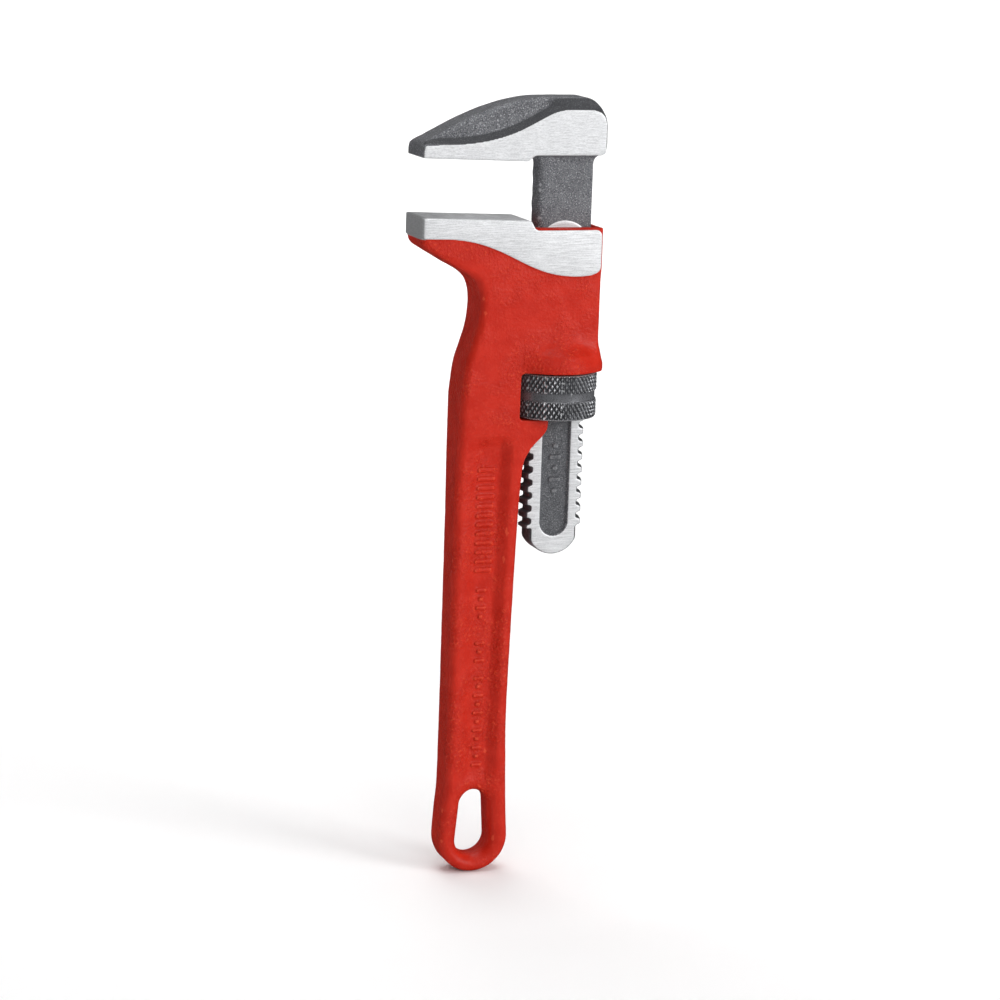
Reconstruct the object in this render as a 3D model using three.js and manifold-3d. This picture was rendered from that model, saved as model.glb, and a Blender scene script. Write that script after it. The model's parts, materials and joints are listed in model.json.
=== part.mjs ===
// Smooth-jaw adjustable pipe wrench: a cast housing whose lower jaw, handle and ring are one
// piece, a forged hook jaw on a threaded shank, the knurled nut that drives it, and the flat
// and coil springs that steady the shank inside the housing.
// Millimetres, +Z up. X runs from the jaw tips to the back of the head, Y through the thickness.
// Everything is drawn around the shank's axis at the height of the nut's middle; the last
// lines move the whole wrench so that its lowest, centred point is the origin.
import * as THREE from "three";
import { mergeVertices } from "three/addons/utils/BufferGeometryUtils.js";
import Module from "manifold-3d";

const wasm = await Module();
wasm.setup();

// ---- driving dimensions ----
const JAW_OPENING = 22;            // gap between the two jaw faces as modelled
const JAW_SLOPE = 0.03;            // both faces rise towards their tips by this much per mm
const NOSE_X = -58.4;              // front ends of both jaws
const THROAT_X = -16;              // where the fixed jaw face meets the head
const JAW_FACE_Z = 67.3;           // height of the fixed jaw face at the throat

const HEAD_TOP = 64.3;             // flat top of the head behind the fixed jaw
const HEAD_BACK = 14.4;            // back of the head
const HEAD_THICKNESS = 20;
const GROUND_THICKNESS = 21.5;     // across the two ground side faces of the fixed jaw
const HANDLE_THICKNESS = 15.5;
const RING_THICKNESS = 14.5;
const RING = { x: -29, z: -175.5, r: 14.2 };
const HANG_HOLE = { topX: -29, topZ: -162.5, topR: 6.2, lowX: -29.2, lowZ: -176.6, lowR: 7.3 };
const HANDLE_POCKET = 2;          // depth of the shallow pocket in each side of the handle

const NUT_RADIUS = 16.5;
const NUT_HEIGHT = 17.4;
const KNURL_BAND = 6.6;            // height of each of the nut's two knurled bands
const KNURL_GROOVE = 0.7;          // how far the smooth band between them is set back
const WINDOW = { left: -16.9, half: 9.2, corner: 1.5 };
const COLLAR_RADIUS = 17.9;
const COLLAR_HEIGHT = 13;          // of the collar above the window

const SHANK_HALF_WIDTH = 10.6;
const SHANK_BACK = 11.2;           // back edge of the plain shank above the thread
const SHANK_THICKNESS = 10;        // across the ground faces of the threaded part
const FORGED_THICKNESS = 9.4;      // of the plain shank above them
const SLOT = { halfX: 12.3, halfY: 5.35 };
const PANEL = { x: 0.1, halfWidth: 5.9, low: -50, high: 20, depth: 1.4 };

const PITCH = 5.08;                // right-hand thread, five turns to the inch
const THREAD_RADIUS = 12;
const THREAD_DEPTH = 1.6;
const THREAD_CREST = 2.0;          // width of the flat crest of a tooth
const THREAD_FLANK = 0.7;          // height of each sloping flank
const THREAD_CLEARANCE = 0.3;      // between nut and shank, on the radius and along the axis
const THREAD_BOTTOM = -52.6;
const THREAD_TOP = 31;
const THREAD_SIDES = 48;

const HOOK_THICKNESS = 19.5;       // across the ground faces of the hook jaw
const HOOK_SHOULDER_THICKNESS = 16.5;
const HOOK_WEB_THICKNESS = 12.5;   // of the hook's upper part
const HOOK_UNDERSIDE = 91.5;       // underside of the hook behind its jaw face
const HOOK_TOP = 113.3;
const HOOK_BACK = 15.4;

// Springs in the passage's front wall: the height of the coil, and the hollow they sit in.
const SPRING_Z = 38;
const HOLLOW = { left: -15.4, halfY: 4.8, halfZ: 21, boreRadius: 4.4, boreEnd: -26 };
const STRIP = { x: -14.6, bow: 1.3, reach: 20, width: 8, thickness: 0.8, hole: 1.6 };
const COIL = { radius: 3.2, wire: 0.55, turns: 5, start: -15.6, length: 9.2 };
const RIVET = { x: -13.5, head: 2.4, headHeight: 0.9, stem: 1.25, length: 5, tail: 2.1 };

// ---- solids ----
function solid(geometry) {
  const bare = geometry.clone();
  bare.deleteAttribute("normal");
  bare.deleteAttribute("uv");
  const merged = mergeVertices(bare, 1e-4);
  return new wasm.Manifold(new wasm.Mesh({
    numProp: 3,
    vertProperties: new Float32Array(merged.attributes.position.array),
    triVerts: new Uint32Array(merged.index.array),
  }));
}

function geometryOf(manifold) {
  const mesh = manifold.getMesh();
  const geometry = new THREE.BufferGeometry();
  geometry.setAttribute("position", new THREE.BufferAttribute(mesh.vertProperties, 3));
  geometry.setIndex(new THREE.BufferAttribute(mesh.triVerts, 1));
  geometry.computeVertexNormals();
  return geometry;
}

// A plate drawn in X and Z, centred on the middle plane, with edges chamfered by `bevel`.
function plate(outline, thickness, bevel = 0, curveSegments = 8) {
  const geometry = new THREE.ExtrudeGeometry(outline, {
    depth: thickness - 2 * bevel,
    curveSegments,
    bevelEnabled: bevel > 0,
    bevelThickness: bevel,
    bevelSize: bevel,
    bevelOffset: -bevel,
    bevelSegments: 1,
  });
  geometry.translate(0, 0, bevel - thickness / 2);
  geometry.rotateX(Math.PI / 2);
  return solid(geometry);
}

function block(x0, x1, y0, y1, z0, z1) {
  const geometry = new THREE.BoxGeometry(x1 - x0, y1 - y0, z1 - z0);
  geometry.translate((x0 + x1) / 2, (y0 + y1) / 2, (z0 + z1) / 2);
  return solid(geometry);
}

// A turned solid about the shank's axis from a closed list of [radius, height] corners.
function turned(corners, sides) {
  const profile = corners.map(([r, z]) => new THREE.Vector2(r, z));
  const geometry = new THREE.LatheGeometry(profile, sides);
  geometry.rotateX(Math.PI / 2);
  return solid(geometry);
}

function point(x, z) {
  return new THREE.Vector2(x, z);
}

// ---- jaw faces ----
function fixedFace(x) {
  return JAW_FACE_Z + JAW_SLOPE * (THROAT_X - x);
}

function hookFace(x) {
  return fixedFace(x) + JAW_OPENING;
}

// ---- thread ----
// A right-hand threaded rod about the axis: each column of points is one tooth profile after
// another, raised by its share of the pitch, and the ends are fans to points on the axis.
function threadedRod(radius, depth, crest, flank, bottom, top) {
  const root = PITCH - crest - 2 * flank;
  const steps = [[0, radius], [crest, radius], [crest + flank, radius - depth],
    [crest + flank + root, radius - depth]];
  const turns = Math.ceil((top - bottom) / PITCH) + 2;
  const rows = turns * steps.length;
  const start = bottom - 1.5 * PITCH - crest / 2;
  const positions = [];
  for (let side = 0; side < THREAD_SIDES; side += 1) {
    const share = side / THREAD_SIDES;
    const angle = share * 2 * Math.PI;
    for (let row = 0; row <= rows; row += 1) {
      const [rise, r] = steps[row % steps.length];
      const z = start + PITCH * (Math.floor(row / steps.length) + share) + rise;
      positions.push(r * Math.cos(angle), r * Math.sin(angle), z);
    }
  }
  const foot = positions.length / 3;
  positions.push(0, 0, start + PITCH / 2, 0, 0, start + PITCH * (turns + 0.5));
  const column = rows + 1;
  const triangles = [];
  for (let side = 0; side < THREAD_SIDES; side += 1) {
    const last = side === THREAD_SIDES - 1;
    const here = side * column;
    const next = last ? steps.length : (side + 1) * column;
    const shared = last ? rows - steps.length : rows;
    for (let row = 0; row < shared; row += 1) {
      triangles.push(here + row, next + row, next + row + 1);
      triangles.push(here + row, next + row + 1, here + row + 1);
    }
    triangles.push(foot, next, here);
    triangles.push(foot + 1, here + shared, next + shared);
  }
  for (let step = 0; step < steps.length; step += 1) {
    triangles.push(foot, step, step + 1);
    const upper = (THREAD_SIDES - 1) * column + rows - steps.length + step;
    triangles.push(foot + 1, upper + 1, upper);
  }
  const geometry = new THREE.BufferGeometry();
  geometry.setAttribute("position", new THREE.Float32BufferAttribute(positions, 3));
  geometry.setIndex(triangles);
  return solid(geometry);
}

// ---- housing ----
function housingOutline() {
  const outline = new THREE.Shape();
  outline.moveTo(THROAT_X, fixedFace(THROAT_X));
  outline.quadraticCurveTo(THROAT_X + 2, HEAD_TOP + 1, THROAT_X + 2.6, HEAD_TOP);
  outline.lineTo(HEAD_BACK - 2, HEAD_TOP);
  outline.absarc(HEAD_BACK - 2, HEAD_TOP - 2, 2, Math.PI / 2, 0, true);
  outline.lineTo(HEAD_BACK, WINDOW.half);
  // window for the nut, open to the back
  const innerX = WINDOW.left + WINDOW.corner;
  const innerZ = WINDOW.half - WINDOW.corner;
  outline.lineTo(innerX, WINDOW.half);
  outline.absarc(innerX, innerZ, WINDOW.corner, Math.PI / 2, Math.PI, false);
  outline.absarc(innerX, -innerZ, WINDOW.corner, Math.PI, 1.5 * Math.PI, false);
  outline.lineTo(-4.8, -WINDOW.half);
  // cheeks beside the shank, then the back edge of the handle
  outline.lineTo(-4.9, -12);
  outline.bezierCurveTo(-5.6, -17, -13.2, -19, -13.6, -27);
  outline.splineThru([point(-14.8, -51.5), point(-16.2, -100), point(-16.7, -130),
    point(-15.9, -155), point(RING.x + RING.r, RING.z)]);
  outline.absarc(RING.x, RING.z, RING.r, 0, Math.PI, true);
  outline.splineThru([point(-42.6, -165), point(-41.5, -153), point(-41.2, -130)]);
  outline.lineTo(-41.1, -30);
  outline.lineTo(-40.4, 0);
  // front of the neck, then the underside of the fixed jaw
  outline.splineThru([point(-39.1, 11.5), point(-36.8, 19.3), point(-34.6, 27),
    point(-33.8, 35.5), point(-34.9, 42), point(-38, 46.2), point(-45, 50.2)]);
  outline.lineTo(-55.4, 56.3);
  outline.quadraticCurveTo(NOSE_X, 58.2, NOSE_X, 61);
  outline.lineTo(NOSE_X, fixedFace(NOSE_X));
  outline.closePath();
  return outline;
}

// The ground side faces of the fixed jaw and head, bounded below by an S-shaped line.
function groundOutline() {
  const outline = new THREE.Shape();
  outline.moveTo(NOSE_X, fixedFace(NOSE_X));
  outline.lineTo(NOSE_X, 60.7);
  outline.lineTo(-50, 60.6);
  outline.bezierCurveTo(-24, 60.2, -18, 45.9, 4, 45.9);
  outline.bezierCurveTo(10, 45.9, 13.5, 46.8, 13.5, 50);
  outline.lineTo(13.5, HEAD_TOP - 3.2);
  outline.quadraticCurveTo(13.5, HEAD_TOP - 0.7, 11, HEAD_TOP - 0.7);
  outline.lineTo(THROAT_X + 3, HEAD_TOP - 0.7);
  outline.lineTo(THROAT_X, fixedFace(THROAT_X));
  outline.closePath();
  return outline;
}

// Half thickness against height, drawn in Y and Z: full at the head, slimmer at the handle.
function thicknessOutline() {
  const head = HEAD_THICKNESS / 2;
  const handle = HANDLE_THICKNESS / 2;
  const ring = RING_THICKNESS / 2;
  const right = [[head, 75], [head, -8], [handle, -45], [handle, -150], [ring, -165], [ring, -195]];
  const outline = new THREE.Shape();
  outline.moveTo(right[0][0], right[0][1]);
  right.slice(1).forEach(([y, z]) => outline.lineTo(y, z));
  right.slice().reverse().forEach(([y, z]) => outline.lineTo(-y, z));
  outline.closePath();
  return outline;
}

function thicknessSolid() {
  const geometry = new THREE.ExtrudeGeometry(thicknessOutline(), { depth: 100, bevelEnabled: false });
  geometry.rotateX(Math.PI / 2);
  geometry.rotateZ(Math.PI / 2);
  geometry.translate(-70, 0, 0);
  return solid(geometry);
}

// Keeps of an outline only what lies deeper than `floor` from the middle plane, on both sides.
function sunkInBothSides(outline, floor) {
  return plate(outline, 60).subtract(block(-100, 100, -floor, floor, -250, 150));
}

// The shallow pocket in each side of the handle.
function handlePockets() {
  const outline = new THREE.Shape();
  outline.moveTo(-37, -140);
  outline.lineTo(-36.8, -26);
  outline.quadraticCurveTo(-36, -18, -28, -18);
  outline.quadraticCurveTo(-19, -18, -19, -32);
  outline.lineTo(-21, -140);
  outline.quadraticCurveTo(-29, -148, -37, -140);
  return sunkInBothSides(outline, HANDLE_THICKNESS / 2 - HANDLE_POCKET);
}

function hangHole() {
  const { topX, topZ, topR, lowX, lowZ, lowR } = HANG_HOLE;
  const outline = new THREE.Shape();
  outline.moveTo(topX + topR, topZ);
  outline.absarc(topX, topZ, topR, 0, Math.PI, false);
  outline.lineTo(lowX - lowR, lowZ);
  outline.absarc(lowX, lowZ, lowR, Math.PI, 2 * Math.PI, false);
  outline.closePath();
  return plate(outline, 40);
}

// The collar that the nut bears on swells out of the head around the shank's axis.
function collar() {
  const foot = WINDOW.half;
  const top = foot + COLLAR_HEIGHT;
  return turned([[0, foot], [COLLAR_RADIUS - 1.4, foot], [COLLAR_RADIUS, foot + 1.7],
    [COLLAR_RADIUS, foot + 3], [COLLAR_RADIUS - 1.6, foot + 6.5], [11, top], [0, top]], 48)
    .intersect(block(-14, COLLAR_RADIUS + 1, -30, 30, 0, 60));
}

function handleHousing() {
  const passage = block(-SLOT.halfX, SLOT.halfX, -SLOT.halfY, SLOT.halfY, 0, 80);
  const lowerSlot = block(-SLOT.halfX - 0.4, SLOT.halfX, -SLOT.halfY, SLOT.halfY, -60, 0);
  const { left, halfY, halfZ, boreRadius, boreEnd } = HOLLOW;
  const springPocket = block(left, -12, -halfY, halfY, SPRING_Z - halfZ, SPRING_Z + halfZ);
  const bore = new THREE.CylinderGeometry(boreRadius, boreRadius, left + 1.4 - boreEnd, 24);
  bore.rotateZ(Math.PI / 2);
  bore.translate((boreEnd + left + 1.4) / 2, 0, SPRING_Z);
  return plate(housingOutline(), 40)
    .intersect(thicknessSolid())
    .add(plate(groundOutline(), GROUND_THICKNESS))
    .add(collar())
    .subtract(hangHole())
    .subtract(handlePockets())
    .subtract(passage)
    .subtract(lowerSlot)
    .subtract(springPocket)
    .subtract(solid(bore));
}

// ---- hook jaw ----
function hookOutline() {
  const outline = new THREE.Shape();
  outline.moveTo(NOSE_X, hookFace(NOSE_X));
  outline.lineTo(THROAT_X - 1, hookFace(THROAT_X - 1));
  outline.quadraticCurveTo(THROAT_X + 1, HOOK_UNDERSIDE, THROAT_X + 3, HOOK_UNDERSIDE);
  outline.lineTo(HOOK_BACK - 2.6, HOOK_UNDERSIDE);
  outline.quadraticCurveTo(HOOK_BACK, HOOK_UNDERSIDE + 1.5, HOOK_BACK, HOOK_UNDERSIDE + 5);
  outline.lineTo(HOOK_BACK, 101);
  outline.bezierCurveTo(HOOK_BACK, 107, 11.5, HOOK_TOP, 5.5, HOOK_TOP);
  outline.lineTo(-9, HOOK_TOP);
  outline.bezierCurveTo(-24, HOOK_TOP - 0.2, -40, 106.5, -57, 96.6);
  outline.quadraticCurveTo(NOSE_X, 95.6, NOSE_X, 94);
  outline.closePath();
  return outline;
}

// The ground pad that carries the jaw face, bounded above by an S-shaped line.
function hookPadOutline() {
  const outline = new THREE.Shape();
  outline.moveTo(NOSE_X, hookFace(NOSE_X));
  outline.lineTo(THROAT_X - 1, hookFace(THROAT_X - 1));
  outline.quadraticCurveTo(THROAT_X + 1, HOOK_UNDERSIDE, THROAT_X + 3, HOOK_UNDERSIDE);
  outline.lineTo(12, HOOK_UNDERSIDE);
  outline.quadraticCurveTo(14, HOOK_UNDERSIDE + 1, 14, 95);
  outline.lineTo(14, 103);
  outline.bezierCurveTo(14, 107, 11, 108.6, 7, 108.6);
  outline.lineTo(-1, 108.6);
  outline.bezierCurveTo(-13, 108.6, -17, 95.8, -50, 95.5);
  outline.lineTo(-56.8, 95.3);
  outline.quadraticCurveTo(NOSE_X, 95.2, NOSE_X, 94);
  outline.closePath();
  return outline;
}

// The rounded shoulder where the back of the pad slopes up to the hook's top.
function hookShoulderOutline() {
  const outline = new THREE.Shape();
  outline.moveTo(-26, 97);
  outline.bezierCurveTo(-17, 99, -14, HOOK_TOP - 1.6, -4, HOOK_TOP - 1.6);
  outline.lineTo(6, HOOK_TOP - 1.6);
  outline.bezierCurveTo(11, HOOK_TOP - 1.6, HOOK_BACK - 0.8, 107, HOOK_BACK - 0.8, 101);
  outline.lineTo(HOOK_BACK - 0.8, 97);
  outline.closePath();
  return outline;
}

function shankSolid() {
  const half = SHANK_THICKNESS / 2;
  const forged = FORGED_THICKNESS / 2;
  const tipZ = THREAD_BOTTOM;
  const tipRadius = THREAD_RADIUS - THREAD_DEPTH;
  const tipOutline = new THREE.Shape();
  tipOutline.absarc(0, tipZ, tipRadius, Math.PI, 2 * Math.PI, false);
  tipOutline.closePath();
  const tip = plate(tipOutline, SHANK_THICKNESS)
    .intersect(turned([[0, tipZ - 20], [tipRadius, tipZ - 20], [tipRadius, tipZ], [0, tipZ]], 48));
  const upper = block(-SHANK_HALF_WIDTH, SHANK_BACK, -forged, forged, 60, HOOK_UNDERSIDE + 2);
  const plain = block(-SHANK_HALF_WIDTH, SHANK_BACK, -half, half, THREAD_TOP, 66);
  const flare = new THREE.Shape();
  flare.moveTo(-SHANK_HALF_WIDTH, HOOK_UNDERSIDE - 5);
  flare.quadraticCurveTo(-SHANK_HALF_WIDTH, HOOK_UNDERSIDE, -SHANK_HALF_WIDTH - 4, HOOK_UNDERSIDE + 0.5);
  flare.lineTo(SHANK_BACK + 2.4, HOOK_UNDERSIDE + 0.5);
  flare.quadraticCurveTo(SHANK_BACK, HOOK_UNDERSIDE - 1.5, SHANK_BACK, HOOK_UNDERSIDE - 6);
  flare.closePath();
  const thread = threadedRod(THREAD_RADIUS, THREAD_DEPTH, THREAD_CREST, THREAD_FLANK,
    THREAD_BOTTOM, THREAD_TOP)
    .intersect(block(-20, 20, -half, half, tipZ, THREAD_TOP));
  return thread.add(plain).add(upper).add(tip).add(plate(flare, FORGED_THICKNESS));
}

// A long shallow panel sunk into each ground face of the shank.
function shankPanels() {
  const { x, halfWidth, low, high, depth } = PANEL;
  const outline = new THREE.Shape();
  outline.absarc(x, low, halfWidth, Math.PI, 2 * Math.PI, false);
  outline.absarc(x, high, halfWidth, 0, Math.PI, false);
  outline.closePath();
  return sunkInBothSides(outline, SHANK_THICKNESS / 2 - depth);
}

function hookJaw() {
  return plate(hookOutline(), HOOK_WEB_THICKNESS, 1.5)
    .add(plate(hookShoulderOutline(), HOOK_SHOULDER_THICKNESS))
    .add(plate(hookPadOutline(), HOOK_THICKNESS))
    .add(shankSolid())
    .subtract(shankPanels());
}

// ---- nut ----
function adjustingNut() {
  const top = NUT_HEIGHT / 2;
  const groove = top - KNURL_BAND;
  const chamfer = 1.1;
  const inner = NUT_RADIUS - KNURL_GROOVE;
  const body = turned([[0, -top], [NUT_RADIUS - chamfer, -top], [NUT_RADIUS, -top + chamfer],
    [NUT_RADIUS, -groove - 0.5], [inner, -groove], [inner, groove], [NUT_RADIUS, groove + 0.5],
    [NUT_RADIUS, top - chamfer], [NUT_RADIUS - chamfer, top], [0, top]], 64);
  const c = THREAD_CLEARANCE;
  const clearance = threadedRod(THREAD_RADIUS + c, THREAD_DEPTH, THREAD_CREST + 2 * c,
    THREAD_FLANK, THREAD_BOTTOM, THREAD_TOP);
  return body.subtract(clearance);
}

// ---- springs in the passage's front wall ----
// The flat spring is a strip bowed towards the shank at both ends.
function flatSpring() {
  const back = [];
  const front = [];
  for (let step = -6; step <= 6; step += 1) {
    const z = SPRING_Z + STRIP.reach * step / 6;
    const x = STRIP.x + STRIP.bow * (step / 6) ** 2;
    back.push(point(x, z));
    front.unshift(point(x + STRIP.thickness, z));
  }
  const strip = plate(new THREE.Shape([...back, ...front]), STRIP.width);
  const hole = new THREE.CylinderGeometry(STRIP.hole, STRIP.hole, 10, 20);
  hole.rotateZ(Math.PI / 2);
  hole.translate(STRIP.x, 0, SPRING_Z);
  return strip.subtract(solid(hole));
}

// A point on the coil spring's centre line, for three.js's curve and sweep classes.
class CoilCurve extends THREE.Curve {
  constructor(radius, turns, start, length) {
    super();
    Object.assign(this, { radius, turns, start, length });
  }

  getPoint(t, target = new THREE.Vector3()) {
    const angle = t * this.turns * 2 * Math.PI;
    const y = this.radius * Math.cos(angle);
    const z = this.radius * Math.sin(angle);
    return target.set(this.start - this.length * t, y, z);
  }
}

function coilSpring() {
  const section = new THREE.Shape();
  section.absarc(0, 0, COIL.wire, 0, 2 * Math.PI, false);
  const geometry = new THREE.ExtrudeGeometry(section, {
    steps: COIL.turns * 14,
    curveSegments: 4,
    extrudePath: new CoilCurve(COIL.radius, COIL.turns, COIL.start, COIL.length),
  });
  geometry.translate(0, 0, SPRING_Z);
  return solid(geometry);
}

// The rivet's head sits in front of the flat spring and its tail keeps the coil centred.
function springRivet() {
  const { head, headHeight, stem, length, tail } = RIVET;
  return turned([[0, -length - 0.4], [tail, -length - 0.4], [stem, -length + 0.6], [stem, 0],
    [head, 0], [0.75 * head, 0.8 * headHeight], [0, headHeight]], 24)
    .rotate([0, 90, 0])
    .translate([RIVET.x, 0, SPRING_Z]);
}

// ---- materials and assembly ----
const red = new THREE.MeshStandardMaterial({ color: 0xc0341f, roughness: 0.5, metalness: 0.05 });
const forged = new THREE.MeshStandardMaterial({ color: 0x55565a, roughness: 0.6, metalness: 0.7 });
const blacked = new THREE.MeshStandardMaterial({ color: 0x2c2d30, roughness: 0.45, metalness: 0.8 });
const springSteel = new THREE.MeshStandardMaterial({ color: 0x8a8c90, roughness: 0.35, metalness: 0.9 });
const rivetSteel = new THREE.MeshStandardMaterial({ color: 0x9b9da1, roughness: 0.4, metalness: 0.9 });

const wrench = new THREE.Group();

function place(name, manifold, material) {
  const mesh = new THREE.Mesh(geometryOf(manifold), material);
  mesh.name = name;
  wrench.add(mesh);
}

place("handle_housing", handleHousing(), red);
place("hook_jaw", hookJaw(), forged);
place("adjusting_nut", adjustingNut(), blacked);
place("flat_spring", flatSpring(), springSteel);
place("coil_spring", coilSpring(), springSteel.clone());
place("spring_rivet", springRivet(), rivetSteel);

wrench.position.set(-(NOSE_X + COLLAR_RADIUS) / 2, 0, RING.r - RING.z);

export default wrench;
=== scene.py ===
# Smooth-jaw pipe wrench: the finished look of each CAD piece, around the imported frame.
# The casting and the forging are distance fields, in millimetres about the shank's axis at the
# middle of the nut, turned into meshes. The nut is a grid of rows around that axis. The springs
# and the rivet keep their CAD shapes and take a steel finish.
import json
import math

import bpy
import numpy as np
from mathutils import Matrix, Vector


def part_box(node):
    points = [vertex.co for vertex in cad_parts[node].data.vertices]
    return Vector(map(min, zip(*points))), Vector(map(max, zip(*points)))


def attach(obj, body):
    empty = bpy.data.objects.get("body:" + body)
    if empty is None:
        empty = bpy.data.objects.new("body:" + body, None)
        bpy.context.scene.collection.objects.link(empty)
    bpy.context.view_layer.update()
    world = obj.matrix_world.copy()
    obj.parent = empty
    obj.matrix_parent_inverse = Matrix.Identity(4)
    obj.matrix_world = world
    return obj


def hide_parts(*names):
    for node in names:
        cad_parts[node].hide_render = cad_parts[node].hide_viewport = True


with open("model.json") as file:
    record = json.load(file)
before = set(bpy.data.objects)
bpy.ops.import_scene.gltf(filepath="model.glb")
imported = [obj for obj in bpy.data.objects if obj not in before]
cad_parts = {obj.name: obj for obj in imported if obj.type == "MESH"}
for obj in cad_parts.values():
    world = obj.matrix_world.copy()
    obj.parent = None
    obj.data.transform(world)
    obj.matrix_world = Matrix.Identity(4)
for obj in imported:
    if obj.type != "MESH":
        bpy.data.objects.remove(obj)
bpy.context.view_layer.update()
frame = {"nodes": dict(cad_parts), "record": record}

import openvdb
from mathutils import Matrix, Vector

MM = 0.001

# ---- places and sizes from the frame, in millimetres about the shank's axis ----
SPIN = next(j for j in frame["record"]["behaviour"]["joints"] if j["name"] == "nut_spin")
TURN_PER_METRE = abs(frame["record"]["behaviour"]["couplings"][0]["ratio"])
AXIS = np.array(SPIN["pos_m"])


def box_mm(node):
    """Low and high corner of a CAD node's box."""
    low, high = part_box(node)
    return (np.array(low) - AXIS) / MM, (np.array(high) - AXIS) / MM


HOUSING_LOW, HOUSING_HIGH = box_mm("handle_housing")
HOOK_LOW, HOOK_HIGH = box_mm("hook_jaw")
NUT_HIGH = box_mm("adjusting_nut")[1]

NOSE_X = HOUSING_LOW[0]
COLLAR_RADIUS = HOUSING_HIGH[0]
NUT_RADIUS = NUT_HIGH[0]
NUT_HALF = NUT_HIGH[2]
PITCH = 2 * math.pi / TURN_PER_METRE / MM
HOOK_TOP = HOOK_HIGH[2]
HOOK_BACK = HOOK_HIGH[0]
HOOK_HALF = HOOK_HIGH[1]
RING_Z = -175.5
RING_RADIUS = RING_Z - HOUSING_LOW[2]

# ---- sizes shared with the CAD pieces; HALF is half a thickness in Y, or half a height in Z ----
JAW_SLOPE = 0.03
JAW_OPENING = 22.0
THROAT_X = -16.0                   # where the fixed jaw's face meets the head
JAW_FACE_Z = 67.3                  # of the fixed jaw at the throat
HEAD_TOP = 64.3
HEAD_BACK = 14.4
HEAD_HALF = 10.0
GROUND_HALF = 10.75
HANDLE_HALF = 7.75
RING_HALF = 7.25
RING_X = -29.0
WINDOW_LEFT = -16.9
WINDOW_HALF = 9.2
WINDOW_CORNER = 1.5
SLOT_HALF_X = 12.3                 # the shank's passage
SLOT_HALF_Y = 5.35
SHANK_HALF_WIDTH = 10.6
SHANK_BACK = 11.2
SHANK_HALF = 5.0
FORGED_HALF = 4.7
THREAD_RADIUS = 12.0
THREAD_DEPTH = 1.6
THREAD_CREST = 2.0
THREAD_FLANK = 0.7
THREAD_BOTTOM = -52.6
THREAD_TOP = 31.0
HOOK_UNDERSIDE = 91.5
HOOK_WEB_HALF = 6.25
PANEL_X = 0.1                      # the shank's sunk panel
PANEL_HALF_WIDTH = 5.9
PANEL_LOW = -50.0
PANEL_HIGH = 20.0
ARCH_Z = 55.8                      # the ground shank faces end in a half circle about here
SPRING_Z = 38.0
RECESS_X = (-15.4, -10)            # the flat spring's recess
RECESS_HALF_Y = 4.8
RECESS_HALF_Z = 21
BORE_X = (-26, -11)                # the coil spring's bore
BORE_RADIUS = 4.4

# ---- sizes of the finished look ----
FIXED_NOSE_RADIUS = 1.5            # of the jaws' front corners, seen from above
HOOK_NOSE_RADIUS = 0.8
HANDLE_EDGE = 3.3                  # edge radii; the head and its back edge have finer ones
HEAD_FINER = 0.9
BACK_FINER = 1.3
CHEEK_EDGE = 1.3
HEAD_TOP_EDGE = 1.1
JAW_EDGE = 0.4
GROUND_EDGE = 0.3
COLLAR_EDGE = 1.8
POCKET_DEPTH = 3.0                 # of the hollow down each side of the handle
POCKET_FRONT = -39.0
POCKET_BACK = -17.6                # at the top; the taper brings it forward down the handle
POCKET_TAPER = 2.2
POCKET_TOP = (-14.0, -20.5)        # heights from none of the pocket to all of it
POCKET_FOOT = (-164, -144)
MARK_HEIGHT = 0.9                  # of the raised bars
PANEL_DEPTH = 1.4
HOOK_RIM = 0.5                     # raised edge around the hook's web
NUT_CLEARANCE = 0.3                # between the threads
NUT_FACE_RADIUS = 13.4             # a ring of points across the nut's end face
NUT_CHAMFER = 0.6
GROOVE_DEPTH = 0.75
KNURL_COLUMNS = 432                # points around the nut
KNURL_STEPS = 8                    # points along the side of one knurl diamond
KNURL_RISE = 0.3625                # height from one row of points to the next
KNURL_ROWS = 17
KNURL_DEPTH = 0.55
GROOVE_HALF = NUT_HALF - NUT_CHAMFER - KNURL_ROWS * KNURL_RISE

VOXEL = 0.42
MARGIN = 2                         # of empty samples around a piece
FACE_LIMIT = 190000                # triangles a piece may keep
FAR = 9.0                          # a distance well outside a piece


# ---- outlines in X and Z ----
def line(*points):
    return np.array(points, float)


def bezier(a, b, c, d, count=24):
    t = np.linspace(0, 1, count)[:, None]
    a, b, c, d = (np.array(p, float) for p in (a, b, c, d))
    return a * (1 - t) ** 3 + 3 * b * t * (1 - t) ** 2 + 3 * c * t * t * (1 - t) + d * t ** 3


def arc(x, z, radius, start, end, count=24):
    angle = np.radians(np.linspace(start, end, count))
    return np.stack([x + radius * np.cos(angle), z + radius * np.sin(angle)], 1)


def spline(*points):
    """A smooth curve through the points."""
    p = np.array([points[0], *points, points[-1]], float)
    t = np.linspace(0, 1, 8, endpoint=False)[:, None]
    spans = []
    for a, b, c, d in zip(p, p[1:], p[2:], p[3:]):
        spans.append(0.5 * (2 * b + (c - a) * t + (2 * a - 5 * b + 4 * c - d) * t ** 2
                            + (3 * b - a - 3 * c + d) * t ** 3))
    return np.concatenate([*spans, p[-1:]])


def fixed_face(x):
    """Height of the fixed jaw's sloping face."""
    return JAW_FACE_Z + JAW_SLOPE * (THROAT_X - x)


def hook_face(x):
    return fixed_face(x) + JAW_OPENING


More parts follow.
